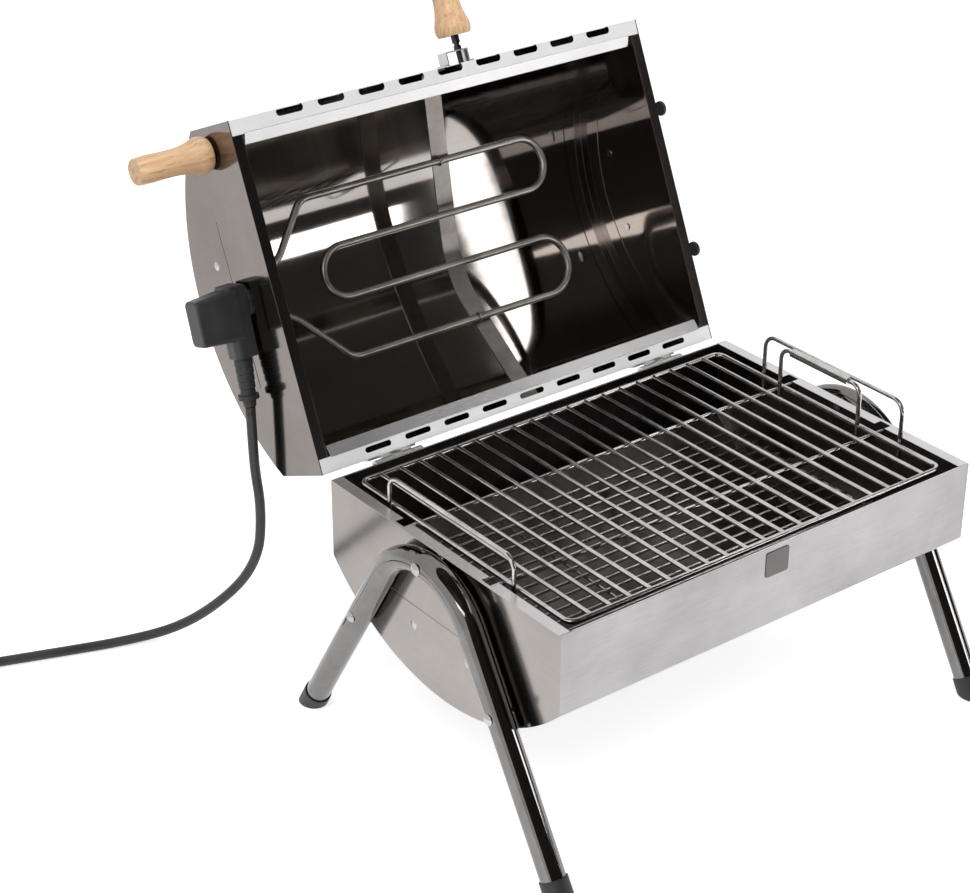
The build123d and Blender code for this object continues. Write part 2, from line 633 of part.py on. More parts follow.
# ---- Lid ----
def make_lid():
    end = LID_END - END_SHEET
    half = LID_DEPTH / 2
    body = mirror(shell(LID_DEPTH, LID_WALL, LID_BELLY, 2 * end), about=Plane.XY)
    lip_half = end - LIP_END_GAP
    for side in (-1, 1):
        bend = half - LID_FLANGE
        body += block((-end, end), (side * half, side * bend), (0, SHEET))
        lip = block((-lip_half, lip_half), (side * (bend + SHEET), side * (bend - LIP)), (0, SHEET))
        body += lip.rotate(Axis((0, side * bend, 0), (1, 0, 0)), -side * LIP_ANGLE)
    rows = (
        (half - REAR_SLOT_EDGE, REAR_SLOT_WIDTH),
        (-half + FRONT_SLOT_EDGE, FRONT_SLOT_WIDTH),
    )
    for i in range(SLOT_COUNT):
        x = SLOT_SHIFT + (i - (SLOT_COUNT - 1) / 2) * SLOT_PITCH
        for y, width in rows:
            body -= extrude(Pos(x, y, -1) * SlotOverall(SLOT_LENGTH, width), 1 + 3 * SHEET)
    bolt_hole = HANDLE_BOLT + FIT
    at = (FRONT_HANDLE_X, 0, FRONT_HANDLE_B)
    body -= rod((at[0], -half - 2, at[2]), (at[0], -half + 4, at[2]), bolt_hole)
    nodes["lid_shell"] = open_lid(Pos(0, 0, LID_RIM_Z) * body)

    rim_ends = LID_FLANGE + SHEET / 2
    plate = rivet_holes(end_plate(LID_DEPTH, LID_WALL, LID_BELLY, LID_END_FLANGE, rim_ends))
    plate = mirror(plate, about=Plane.XY)
    y = half - INLET_A
    left = plate - rod((-1, y, INLET_B), (9, y, INLET_B), INLET_BODY + FIT)
    y = half - SIDE_HANDLE_A
    left -= rod((-1, y, SIDE_HANDLE_B), (3, y, SIDE_HANDLE_B), bolt_hole)
    ring = barrel(LID_DEPTH, LID_WALL, LID_BELLY, BEAD_INSET)
    ring -= barrel(LID_DEPTH, LID_WALL, LID_BELLY, BEAD_INSET + BEAD_WIDTH, 1.0)
    bead = upright(ring, END_SHEET - 0.1, BEAD_RISE + 0.1)
    bead -= block((0, 9), (-half, half), (-BEAD_INSET - 4, 1))
    right = plate + mirror(bead, about=Plane.XY)
    bumpers = []
    for y in (-BUMPER_Y, BUMPER_Y):
        right -= rod((-1, y, BUMPER_B), (4, y, BUMPER_B), STEM_RADIUS + FIT)
        head = END_SHEET + FACE_GAP
        stem = rod((-BUMPER_OUT, y, BUMPER_B), (head, y, BUMPER_B), STEM_RADIUS)
        stem += rod((head, y, BUMPER_B), (head + STEM_RADIUS, y, BUMPER_B), STEM_HEAD)
        far = -BUMPER_OUT - BUMPER_THICK
        disc = rod((far, y, BUMPER_B), (-BUMPER_OUT, y, BUMPER_B), BUMPER_RADIUS)
        bumpers.append((stem, fillet(disc.edges(), BUMPER_THICK / 4)))
    place = Pos(-LID_END, 0, LID_RIM_Z)
    nodes["lid_end_left"] = open_lid(place * left)
    nodes["lid_end_right"] = open_lid(mirror(place * right, about=Plane.YZ))
    for name, k in (("lid_bumper_stems", 0), ("lid_bumpers", 1)):
        group = Compound([mirror(place * pair[k], about=Plane.YZ) for pair in bumpers])
        nodes[name] = open_lid(group)

    def fixings():
        places = [Pos(-LID_END, y, LID_RIM_Z + RIVET_DROP) for y in rivet_places()]
        return Compound([p * rivet(END_SHEET) for p in places])

    nodes["lid_rivets"] = open_lid(Compound(list(both_ends(fixings))))


def make_element():
    inside = -LID_END + END_SHEET + TERMINAL_DEPTH + FACE_GAP
    straight = inside + 12
    left = -LID_END + ELEMENT_LEFT_GAP
    right = LID_END - ELEMENT_RIGHT_GAP
    first, second, third, last = ELEMENT_RUNS
    upper, lower = TERMINALS
    corners = [
        (inside, upper),
        (straight, upper),
        (straight + 20, upper + 14),
        (-LID_END + FIRST_BEND_GAP, first),
        (right, first),
        (right, second),
        (left, second),
        (left, third),
        (right, third),
        (right, last),
        (-LID_END + LAST_BEND_GAP, last),
        (straight + 23, lower - 16),
        (straight, lower),
        (inside, lower),
    ]
    turns = [(first - second) / 2, (second - third) / 2, (third - last) / 2]
    end_bends = [12.0, ELEMENT_BEND, ELEMENT_BEND]
    bends = end_bends + [t - 0.1 for t in turns for _ in (0, 1)] + end_bends[::-1]
    points = [lid_point(x, a, ELEMENT_DEEP) for x, a in corners]
    nodes["heating_element"] = open_lid(bent_wire(points, bends, ELEMENT_RADIUS))

    x = (-LID_END + END_SHEET + FACE_GAP, inside - FACE_GAP)
    a = (lower - TERMINAL_RIM, upper + TERMINAL_RIM)
    b = (ELEMENT_DEEP - TERMINAL_HEIGHT, ELEMENT_DEEP + TERMINAL_HEIGHT)
    terminal = lid_block(x, a, b)
    nodes["terminal_block"] = open_lid(fillet(terminal.edges().filter_by(Axis.X), 3))
    make_strip(first, last)


def make_strip(first, last):
    """Bowed strip over the element, and the clips that hang the element on it."""
    thick = STRIP_SHEET / 2
    wall = SHEET + SEAM_GAP + thick
    seat = ELEMENT_RADIUS + 2 * FACE_GAP
    near_b = ELEMENT_DEEP + (seat + thick) * math.hypot(1, STRIP_REAR_SLOPE)
    far_b = ELEMENT_DEEP + (seat + thick) * math.hypot(1, STRIP_FRONT_SLOPE)
    rear_foot = near_b - STRIP_REAR_SLOPE * (last - wall)
    front_foot = far_b - STRIP_FRONT_SLOPE * (LID_DEPTH - wall - first)
    gap = far_b - near_b + STRIP_FRONT_SLOPE * first + STRIP_REAR_SLOPE * last
    crown = gap / (STRIP_FRONT_SLOPE + STRIP_REAR_SLOPE)
    corners = [
        (wall, rear_foot - STRIP_FOOT),
        (wall, rear_foot),
        (crown, near_b + STRIP_REAR_SLOPE * (crown - last)),
        (LID_DEPTH - wall, front_foot),
        (LID_DEPTH - wall, front_foot - STRIP_FOOT),
    ]
    points = [lid_point(STRIP_X, a, b) for a, b in corners]
    line = FilletPolyline(*points, radius=[3, STRIP_BOW, 3])
    start = Plane(origin=line @ 0, x_dir=(1, 0, 0), z_dir=line % 0)
    strip = sweep(start * Rectangle(STRIP_WIDTH, STRIP_SHEET), path=line)
    nodes["element_strip"] = open_lid(strip)

    clips = []
    reach = ELEMENT_RADIUS + FACE_GAP + CLIP_WIRE
    for a, slope in ((last, -STRIP_REAR_SLOPE), (first, STRIP_FRONT_SLOPE)):
        x, y, z = lid_point(STRIP_X + CLIP_SHIFT, a, ELEMENT_DEEP)
        end = z + seat - FACE_GAP
        hook = Wire(
            [
                Edge.make_line((x, y - reach, end), (x, y - reach, z)),
                Edge.make_three_point_arc((x, y - reach, z), (x, y, z - reach), (x, y + reach, z)),
                Edge.make_line((x, y + reach, z), (x, y + reach, end)),
            ]
        )
        tilt = math.degrees(math.atan(slope))
        clips.append(pipe(hook, CLIP_WIRE).rotate(Axis((x, y, z), (1, 0, 0)), tilt))
    nodes["element_clips"] = open_lid(Compound(clips))


# ---- Wooden handles ----
def turned_handle():
    """Turned handle with a blind bolt hole, along +Z from its flared foot."""
    side = Spline(
        (HANDLE_FOOT_RADIUS, 0),
        (HANDLE_FLARE, 0.09 * HANDLE_LENGTH),
        (HANDLE_FLARE - 2.4, 0.24 * HANDLE_LENGTH),
        (HANDLE_NECK, 0.48 * HANDLE_LENGTH),
        (HANDLE_SWELL, 0.8 * HANDLE_LENGTH),
        (HANDLE_SWELL - 0.6, HANDLE_LENGTH),
    )
    closing = Polyline(side @ 1, (0, HANDLE_LENGTH), (0, 0), side @ 0)
    wood = revolve(Plane.XZ * make_face(Curve() + [side, closing]), Axis.Z)
    wood = fillet(wood.edges().sort_by(Axis.Z)[-1], HANDLE_EDGE)
    return wood - rod((0, 0, -1), (0, 0, HANDLE_BORE), HANDLE_BOLT + FIT)


def collar(x, z, near, far, radius, bore):
    """Ring along Y between two places."""
    ring = rod((x, near, z), (x, far, z), radius)
    return ring - rod((x, near + 1, z), (x, far - 1, z), bore)


def make_side_handle():
    outside = -LID_END
    washer_radius, washer_thick = SIDE_WASHER
    x, y, z = lid_point(outside - washer_thick - 2 * FACE_GAP, SIDE_HANDLE_A, SIDE_HANDLE_B)
    place = Plane(origin=(x, y, z), z_dir=(-1, 0, 0))
    nodes["side_handle"] = open_lid(place * turned_handle())
    head_radius, head_height = SCREW_HEAD
    head_x = outside + END_SHEET + FACE_GAP
    bolt = rod((head_x + 1, y, z), (x - BOLT_IN_WOOD, y, z), HANDLE_BOLT)
    bolt += rod((head_x, y, z), (head_x + head_height, y, z), head_radius)
    nodes["side_handle_bolt"] = open_lid(bolt)
    face = outside - FACE_GAP
    washer = rod((face, y, z), (face - washer_thick, y, z), washer_radius)
    washer -= rod((outside, y, z), (x, y, z), HANDLE_BOLT + FIT)
    nodes["side_handle_washer"] = open_lid(washer)


def make_bracket(x, y, z):
    """Sheet bracket between the lid and the nut, with an ear at each side."""
    middle = x + BRACKET_SHIFT
    half = BRACKET_WIDTH / 2
    height = (z - BRACKET_DEEP / 2, z + BRACKET_DEEP / 2)
    outer = y - BRACKET_HEIGHT
    hollow = half - BRACKET_SHEET
    bracket = block((middle - half, middle + half), (y - FACE_GAP, outer), height)
    bracket -= block((middle - hollow, middle + hollow), (y, outer + BRACKET_SHEET), (z - 50, z + 50))
    for side in (-1, 1):
        ear = (middle + side * hollow, middle + side * (half + BRACKET_EAR))
        bracket += block(ear, (y - FACE_GAP, y - BRACKET_SHEET), height)
    return bracket - rod((x, y, z), (x, outer - 1, z), HANDLE_BOLT + FIT)


def make_front_handle():
    x, y, z = lid_point(FRONT_HANDLE_X, LID_DEPTH, FRONT_HANDLE_B)
    nodes["front_handle_bracket"] = open_lid(make_bracket(x, y, z))
    wood_y = y - FRONT_STEM
    head_radius, head_height = SCREW_HEAD
    inside = y + SHEET + FACE_GAP
    bolt = rod((x, inside + 1, z), (x, wood_y - BOLT_IN_WOOD, z), HANDLE_BOLT)
    bolt += rod((x, inside, z), (x, inside + head_height, z), head_radius)
    nodes["front_handle_bolt"] = open_lid(bolt)
    bore = HANDLE_BOLT + FIT
    nut_radius, nut_thick = STEM_NUT
    nut_y = y - BRACKET_HEIGHT - FACE_GAP
    nut = collar(x, z, nut_y, nut_y - nut_thick, nut_radius, bore)
    spacer_radius, spacer_long = SPACER
    near = wood_y + FACE_GAP
    spacer = collar(x, z, near + spacer_long, near, spacer_radius, bore)
    nodes["front_handle_nuts"] = open_lid(Compound([nut, spacer]))
    place = Plane(origin=(x, wood_y, z), z_dir=(0, -1, 0))
    nodes["front_handle"] = open_lid(place * turned_handle())


# ---- Inlet, connector and lead ----
def make_connector():
    """Appliance inlet, and the connector that is plugged into it with the lid open."""
    x, y, z = lid_point(-LID_END, INLET_A, INLET_B)
    inlet = rod((x - FACE_GAP, y, z), (x - INLET_FLANGE, y, z), INLET_RADIUS)
    inlet += rod((x - 1, y, z), (x + END_SHEET + FACE_GAP, y, z), INLET_BODY)
    nodes["inlet_socket"] = open_lid(inlet)

    place = Vector(x, y, z) - Vector(0, PIN_Y, PIN_Z)
    place = place.rotate(Axis.X, -LID_OPEN) + Vector(0, PIN_Y, PIN_Z)
    face = x - INLET_FLANGE - 2 * FACE_GAP
    lean = Axis(place, (1, 0, 0))

    def leaning(shape):
        return shape.rotate(lean, -CONNECTOR_LEAN)

    half = COLUMN_WIDTH / 2
    height = (place.Z - COLUMN_FOOT, place.Z + COLUMN_TOP)
    column = block((face - COLUMN_DEEP, face), (place.Y - half, place.Y + half), height)
    outer = column.edges().filter_by(Axis.Z).sort_by(Axis.X)[:2]
    column = fillet(outer, COLUMN_EDGE)
    column = leaning(fillet(column.edges().sort_by(Axis.Z)[-3:], 1.5))
    middle = (face - COLUMN_DEEP / 2, place.Y, place.Z - GRIP_DROP)
    root = Plane(origin=middle, x_dir=(0, 1, 0), z_dir=(-1, 0, 0))
    near = root * RectangleRounded(*GRIP_NEAR, 5)
    far = root.offset(GRIP_LONG + COLUMN_DEEP / 2) * RectangleRounded(*GRIP_FAR, 5)
    grip = loft([near, far])
    grip = leaning(fillet(grip.faces().sort_by(Axis.X)[0].edges(), 2.5))
    nodes["connector_body"] = column
    nodes["connector_grip"] = grip - column
    start = place + Vector(*SLEEVE_END)
    nodes["strain_relief"] = make_sleeve(place, face, leaning, start)
    return start


def make_sleeve(place, face, leaning, start):
    """Ribbed strain relief from the connector's foot to the start of the lead."""
    foot = leaning(Vertex(face - COLUMN_DEEP / 2, place.Y, place.Z - COLUMN_FOOT - FACE_GAP))
    way = start - foot.center()
    wide = SLEEVE_RADIUS
    pitch = 0.6 * way.length / SLEEVE_RIBS
    profile = [(0, 0), (wide - 0.8, 0)]
    for i in range(SLEEVE_RIBS):
        low = 0.08 * way.length + pitch * i
        thin = wide - 1.2 - 0.3 * i
        profile += [(thin + 0.8, low), (thin + 0.8, low + 0.6 * pitch), (thin, low + 0.7 * pitch)]
    rim = 0.76 * way.length
    profile += [
        (wide - 1.6, rim),
        (wide + 0.6, rim),
        (wide + 0.6, rim + 4),
        (CORD_RADIUS + 1.6, rim + 4.6),
        (CORD_RADIUS + 0.9, way.length),
        (0, way.length),
    ]
    sleeve = revolve(Plane.XZ * make_face(Polyline(*profile, close=True)), Axis.Z)
    sleeve = Plane(origin=foot.center(), z_dir=way) * sleeve
    wide_box = (place.Y - 200, place.Y + 200)
    above = block((face - 200, face + 200), wide_box, (place.Z - COLUMN_FOOT - FACE_GAP, place.Z))
    leaving = (Vector(*CORD_ROUTE[0]) - start).normalized()
    return sleeve - leaning(above) - rod(start, start + leaving * 9, 2 * wide)


def route_radii(points):
    """Bend radius at each corner of a route: 0.45 of its shorter run."""
    radii = []
    for a, b, c in zip(points, points[1:], points[2:]):
        first = Vector(*b) - Vector(*a)
        second = Vector(*c) - Vector(*b)
        turn = math.radians(first.get_angle(second))
        radii.append(0.45 * min(first.length, second.length) / math.tan(turn / 2))
    return radii


def make_lead(start):
    route = [tuple(start), *CORD_ROUTE]
    radii = route_radii(route)
    print("cord bend radii:", [round(r) for r in radii])
    path = FilletPolyline(*route, radius=radii)
    tube = pipe(path, CORD_RADIUS)
    ratio = tube.volume / (math.pi * CORD_RADIUS**2 * path.length)
    print("cord tube length", round(path.length, 1), "volume ratio", round(ratio, 4))
    make_coil(tube)


def make_coil(tube):
    """The put-away length as one ring, the tube cut at it, and the plug beside it."""
    x, y = COIL_CENTRE
    wide = COIL_COLUMNS * CORD_RADIUS
    outer = COIL_TURN + wide
    high = 2 * CORD_RADIUS * COIL_LAYERS
    disc = Pos(x, y) * Cylinder(outer, high, align=(Align.CENTER, Align.CENTER, Align.MIN))
    hollow = Pos(x, y) * Cylinder(COIL_TURN - wide, 3 * high)
    nodes["cord_coil"] = disc - hollow
    nodes["cord_tube"] = tube - disc
    leaves = Vector(x - outer + CORD_RADIUS, y, high - CORD_RADIUS)
    plug_y = y - TAIL_DROP
    enters = Vector(leaves.X, plug_y, PLUG_RADIUS - 0.5)
    beyond = block((x - 200, x), (plug_y - 20, plug_y), (0, 60))
    tail = rod(leaves, enters + (enters - leaves) * 0.1, CORD_RADIUS)
    nodes["cord_tail"] = tail - disc - beyond
    make_plug(leaves.X, plug_y - FACE_GAP)


def make_plug(x, y):
    """Mains plug lying on the ground, its pins towards the front."""
    back = [(0, 0), (0, CORD_RADIUS + 1.2)]
    points = [(radius, along) for along, radius in back + list(PLUG_PROFILE)]
    face = PLUG_PROFILE[-1][0]
    outline = Polyline(*points, (0, face), close=True)
    body = revolve(Plane.XZ * make_face(outline), Axis.Z)
    place = Plane(origin=(x, y, PLUG_RADIUS), x_dir=(1, 0, 0), z_dir=(0, -1, 0))
    depth = 17.0
    pins = []
    for side in (-1, 1):
        foot = (side * PIN_HALF_PITCH, 0, face - depth)
        body -= rod(foot, (foot[0], 0, face + 1), PLUG_PIN_RADIUS + FIT)
        pin = rod(foot, (foot[0], 0, face + PLUG_PIN_LONG), PLUG_PIN_RADIUS)
        pins.append(fillet(pin.edges().sort_by(Axis.Z)[-1], PLUG_PIN_RADIUS / 2))
    nodes["plug_body"] = place * body
    nodes["plug_pins"] = place * Compound(pins)


make_trough()
make_legs()
make_grates()
make_hinges()
make_lid()
make_element()
make_side_handle()
make_front_handle()
make_lead(make_connector())

CORD_NODES = ["cord_tube", "cord_coil", "cord_tail", "plug_body", "plug_pins"]
# The origin is on the ground under the middle of the grill, its lead left out.
box = Compound([s for name, s in nodes.items() if name not in CORD_NODES]).bounding_box()
SHIFT = Vector(-box.center().X, -box.center().Y, -box.min.Z)

os.makedirs("parts", exist_ok=True)
for name, shape in nodes.items():
    shape = shape.moved(Location(SHIFT))
    export_step(shape, "parts/" + name + ".step")
print("shift", SHIFT, "nodes", len(nodes))
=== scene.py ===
"""Looks of the folding camp grill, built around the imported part.

Metres, in the part's own frame.  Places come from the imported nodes' boxes.
"""
import math

import bmesh
import bpy
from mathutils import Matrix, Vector


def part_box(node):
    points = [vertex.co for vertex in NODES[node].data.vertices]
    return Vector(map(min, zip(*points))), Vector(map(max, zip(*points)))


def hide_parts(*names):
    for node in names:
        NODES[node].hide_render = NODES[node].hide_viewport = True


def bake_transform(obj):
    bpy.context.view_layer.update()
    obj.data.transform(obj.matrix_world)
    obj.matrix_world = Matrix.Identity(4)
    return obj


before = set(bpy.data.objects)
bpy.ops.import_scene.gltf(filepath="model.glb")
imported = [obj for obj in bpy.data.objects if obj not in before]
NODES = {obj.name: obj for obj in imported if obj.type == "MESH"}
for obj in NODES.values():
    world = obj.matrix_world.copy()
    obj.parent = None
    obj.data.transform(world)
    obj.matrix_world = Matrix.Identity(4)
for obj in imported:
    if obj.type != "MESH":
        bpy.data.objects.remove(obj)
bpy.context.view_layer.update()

MM = 0.001
LID_OPEN = 114.0  # degrees from closed, as the lid stands at rest
trough_low, trough_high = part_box("trough_shell")
MIDDLE = Vector(((trough_low.x + trough_high.x) / 2, (trough_low.y + trough_high.y) / 2, 0))


def at(x, y, z):
    """A point given in millimetres from the ground under the middle of the trough."""
    return MIDDLE + Vector((x, y, z)) * MM


# ---- Materials ----
class Shader:
    """A node material around one principled shader."""

    def __init__(self, name, **values):
        self.material = bpy.data.materials.new(name)
        self.material.use_nodes = True
        self.tree = self.material.node_tree
        self.shader = self.tree.nodes["Principled BSDF"]
        self.set(**values)

    def set(self, **values):
        """Plain values of the shader's sockets, with _ for a space."""
        for key, value in values.items():
            socket = self.shader.inputs[key.replace("_", " ")]
            socket.default_value = (*value, 1) if isinstance(value, tuple) else value

    def node(self, kind, **settings):
        made = self.tree.nodes.new(kind)
        for key, value in settings.items():
            if hasattr(made, key):
                setattr(made, key, value)
            else:
                made.inputs[key.replace("_", " ")].default_value = value
        return made

    def link(self, source, target):
        self.tree.links.new(source, target)

    def place(self, scale=(1, 1, 1), turn=(0, 0, 0)):
        """Object coordinates, stretched and turned."""
        mapping = self.node("ShaderNodeMapping")
        mapping.inputs["Scale"].default_value = scale
        mapping.inputs["Rotation"].default_value = turn
        coordinates = self.node("ShaderNodeTexCoord")
        self.link(coordinates.outputs["Object"], mapping.inputs["Vector"])
        return mapping.outputs["Vector"]

    def noise(self, where, scale, detail=4.0, roughness=0.5, distortion=0.0):
        made = self.node("ShaderNodeTexNoise")
        for key, value in (
            ("Scale", scale),
            ("Detail", detail),
            ("Roughness", roughness),
            ("Distortion", distortion),
        ):
            made.inputs[key].default_value = value
        self.link(where, made.inputs["Vector"])
        return made.outputs["Fac"]

    def ramp(self, value, stops):
        made = self.node("ShaderNodeValToRGB")
        elements = made.color_ramp.elements
        while len(elements) < len(stops):
            elements.new(0.5)
        for element, (position, colour) in zip(elements, stops):
            element.position = position
            level = colour if isinstance(colour, tuple) else (colour,) * 3
            element.color = (*level, 1)
        self.link(value, made.inputs["Fac"])
        return made.outputs["Color"]

    def spread(self, value, low, high):
        """A 0 to 1 value, as a plain number from low to high."""
        made = self.node("ShaderNodeMapRange")
        made.inputs["To Min"].default_value = low
        made.inputs["To Max"].default_value = high
        self.link(value, made.inputs["Value"])
        return made.outputs["Result"]

    def mix(self, amount, first, second, blend="MIX"):
        made = self.node("ShaderNodeMix", data_type="RGBA", blend_type=blend)
        colours = [s for s in made.inputs if s.type == "RGBA"]
        factor = made.inputs["Factor"]
        for socket, value in ((factor, amount), (colours[0], first), (colours[1], second)):
            if isinstance(value, (int, float)):
                socket.default_value = value
            elif isinstance(value, tuple):
                socket.default_value = (*value, 1)
            else:
                self.link(value, socket)
        return [s for s in made.outputs if s.type == "RGBA"][0]

    def colour(self, source):
        self.link(source, self.shader.inputs["Base Color"])

    def roughness(self, source):
        self.link(source, self.shader.inputs["Roughness"])

    def bump(self, height, distance, strength, edge=None):
        """Fine relief; `edge` rounds the sharp edges by a radius."""
        made = self.node("ShaderNodeBump")
        made.inputs["Distance"].default_value = distance
        made.inputs["Strength"].default_value = strength
        self.link(height, made.inputs["Height"])
        if edge:
            rounded = self.node("ShaderNodeBevel", samples=4)
            rounded.inputs["Radius"].default_value = edge
            self.link(rounded.outputs["Normal"], made.inputs["Normal"])
        self.link(made.outputs["Normal"], self.shader.inputs["Normal"])


SHEET_EDGE = 0.0007  # radius of the sheets' edges
SHEET_WAVES = 0.00012  # height of the sheets' waviness
ALONG_X = (1, 60, 60)  # stretch of brush lines that run along X
ALONG_Y = (60, 1, 60)


def sheet_steel(name, dark, light, rough, brush=ALONG_X, metallic=1.0):
    """Stainless sheet: cloudy tone, fine brush lines along one axis, slight waviness."""
    m = Shader(name, Metallic=metallic)
    clouds = m.noise(m.place(), 9.0, 5.0, 0.6)
    lines = m.noise(m.place(brush), 30.0, 3.0, 0.6)
    tone = m.ramp(clouds, [(0.3, dark), (0.7, light)])
    m.colour(m.mix(0.25, tone, m.ramp(lines, [(0.35, dark), (0.65, light)])))
    m.roughness(m.spread(m.mix(0.5, clouds, lines), *rough))
    m.bump(m.noise(m.place(), 14.0, 2.0), SHEET_WAVES, 0.6, SHEET_EDGE)
    return m.material


def mirror_steel(name, tone, rough):
    """Polished stainless sheet with faint roll lines and smudges."""
    m = Shader(name, Metallic=1.0)
    smudges = m.noise(m.place(), 16.0, 6.0, 0.65)
    lines = m.noise(m.place((0.6, 40, 40)), 22.0, 2.0)
    low = tuple(c * 0.8 for c in tone)
    stops = [(0.3, low), (0.7, tone)]
    m.colour(m.mix(0.3, m.ramp(smudges, stops), m.ramp(lines, stops)))
    m.roughness(m.spread(smudges, *rough))
    m.bump(m.noise(m.place((1, 1.6, 1.6)), 7.0, 1.0), 0.00025, 0.5)
    return m.material


def bright_metal(name, tone, rough, grime):
    """Plated wire or tube: smooth, with slight wear in the shine."""
    m = Shader(name, Metallic=1.0)
    wear = m.noise(m.place(), 45.0, 5.0, 0.7)
    low = tuple(c * (1 - grime) for c in tone)
    m.colour(m.ramp(wear, [(0.35, low), (0.6, tone)]))
    m.roughness(m.spread(wear, *rough))
    m.bump(m.noise(m.place(), 220.0, 2.0), 0.00003, 0.4)
    return m.material


def black_moulding(name, tone, rough, grain=900.0):
    """Moulded plastic or rubber: fine grain, slight rub marks."""
    m = Shader(name)
    rub = m.noise(m.place(), 30.0, 4.0, 0.6)
    light = tuple(c * 1.7 for c in tone)
    m.colour(m.ramp(rub, [(0.4, tone), (0.75, light)]))
    m.roughness(m.spread(rub, *rough))
    m.bump(m.noise(m.place(), grain, 2.0), 0.00004, 0.8)
    return m.material


def turned_wood(name, along):
    """Beech turned along an axis (0 for X, 2 for Z): soft long grain and short dark pores."""
    m = Shader(name, Coat_Weight=0.12, Coat_Roughness=0.3, Specular_IOR_Level=0.4)
    long_way = [26.0, 26.0, 26.0]
    long_way[along] = 2.5
    pore_way = [160.0, 160.0, 160.0]
    pore_way[along] = 18.0
    grain = m.noise(m.place(tuple(long_way)), 6.0, 6.0, 0.62, 0.6)
    pores = m.noise(m.place(tuple(pore_way)), 4.0, 2.0, 0.5)
    dark, middle, pale = (0.50, 0.29, 0.155), (0.66, 0.42, 0.24), (0.78, 0.55, 0.345)
    base = m.ramp(grain, [(0.25, dark), (0.5, middle), (0.75, pale)])
    flecks = m.ramp(pores, [(0.58, (1, 1, 1)), (0.68, (0.62, 0.5, 0.4))])
    m.colour(m.mix(0.7, base, flecks, "MULTIPLY"))
    m.roughness(m.spread(grain, 0.52, 0.38))
    m.bump(m.mix(0.5, grain, pores), 0.00025, 0.5)
    return m.material


def hot_metal(name, cool, warm):
    """Element sheath or strip: heat-tinted, satin."""
    m = Shader(name, Metallic=1.0)
    tint = m.noise(m.place(), 18.0, 5.0, 0.65)
    m.colour(m.ramp(tint, [(0.32, cool), (0.68, warm)]))
    m.roughness(m.spread(tint, 0.26, 0.42))
    m.bump(m.noise(m.place(), 400.0, 3.0), 0.00005, 0.5)
    return m.material


def finish_node(name, material):
    mesh = NODES[name].data
    mesh.materials.clear()
    mesh.materials.append(material)


FRONT_STEEL = sheet_steel("front_steel", (0.27, 0.26, 0.265), (0.42, 0.41, 0.415), (0.2, 0.32))
END_STEEL = sheet_steel("end_steel", (0.27, 0.245, 0.235), (0.36, 0.335, 0.32), (0.09, 0.17), ALONG_Y)
LID_END_STEEL = sheet_steel(
    "lid_end_steel", (0.17, 0.15, 0.14), (0.24, 0.215, 0.205), (0.07, 0.14), ALONG_Y
)
LID_OUTSIDE = sheet_steel("lid_outside", (0.46, 0.45, 0.45), (0.60, 0.59, 0.58), (0.18, 0.3))
# Turned-in edges of the lid: in part brushed satin steel, and in part a painted highlight. They are
# near-white and partly diffuse, standing in for the bright light these edges reflect.
LIP_SATIN_AND_PAINTED_HIGHLIGHT = sheet_steel("lip_satin_and_painted_highlight", (0.70, 0.70, 0.70), (0.86, 0.86, 0.86), (0.38, 0.5), metallic=0.35)
# Trough rim tops and the lid's second bend: a lighter copy of the sheet steel on faces turned to the
# light. This is a painted highlight.
RIM_PAINTED_HIGHLIGHT = sheet_steel("rim_painted_highlight", (0.55, 0.54, 0.54), (0.72, 0.71, 0.71), (0.2, 0.32), metallic=0.8)
LID_INSIDE = mirror_steel("lid_inside", (0.38, 0.35, 0.33), (0.03, 0.08))
TROUGH_INSIDE = hot_metal("trough_inside", (0.06, 0.055, 0.053), (0.16, 0.15, 0.145))
# Leg tubes: chrome with its base colour set dark. This is a painted dark reflection, standing in for
# the dark surroundings that the tubes mirror.
CHROME_PAINTED_DARK = bright_metal("chrome_painted_dark", (0.205, 0.2, 0.197), (0.04, 0.09), 0.15)
WIRE = bright_metal("bright_wire", (0.62, 0.60, 0.59), (0.12, 0.26), 0.3)
FIXINGS = bright_metal("fixings", (0.50, 0.49, 0.48), (0.12, 0.25), 0.2)
DARK_FIXINGS = hot_metal("dark_fixings", (0.03, 0.03, 0.03), (0.09, 0.085, 0.08))
BRACKET = sheet_steel("bracket_steel", (0.5, 0.49, 0.48), (0.68, 0.67, 0.66), (0.25, 0.4), (1, 30, 30))
ELEMENT = hot_metal("element_sheath", (0.24, 0.225, 0.205), (0.50, 0.48, 0.44))
STRIP = hot_metal("strip_steel", (0.17, 0.15, 0.14), (0.33, 0.31, 0.29))
BADGE = sheet_steel("badge_plate", (0.10, 0.098, 0.095), (0.16, 0.155, 0.15), (0.3, 0.45), (1, 80, 80))
RUBBER = black_moulding("black_rubber", (0.014, 0.014, 0.014), (0.42, 0.6))
PLASTIC = black_moulding("black_plastic", (0.018, 0.018, 0.018), (0.35, 0.5))
CABLE = black_moulding("black_cable", (0.018, 0.018, 0.019), (0.33, 0.48), 1500.0)
PLUG_METAL = bright_metal("plug_metal", (0.72, 0.68, 0.58), (0.15, 0.3), 0.2)
SIDE_WOOD = turned_wood("side_wood", 0)
FRONT_WOOD = turned_wood("front_wood", 2)

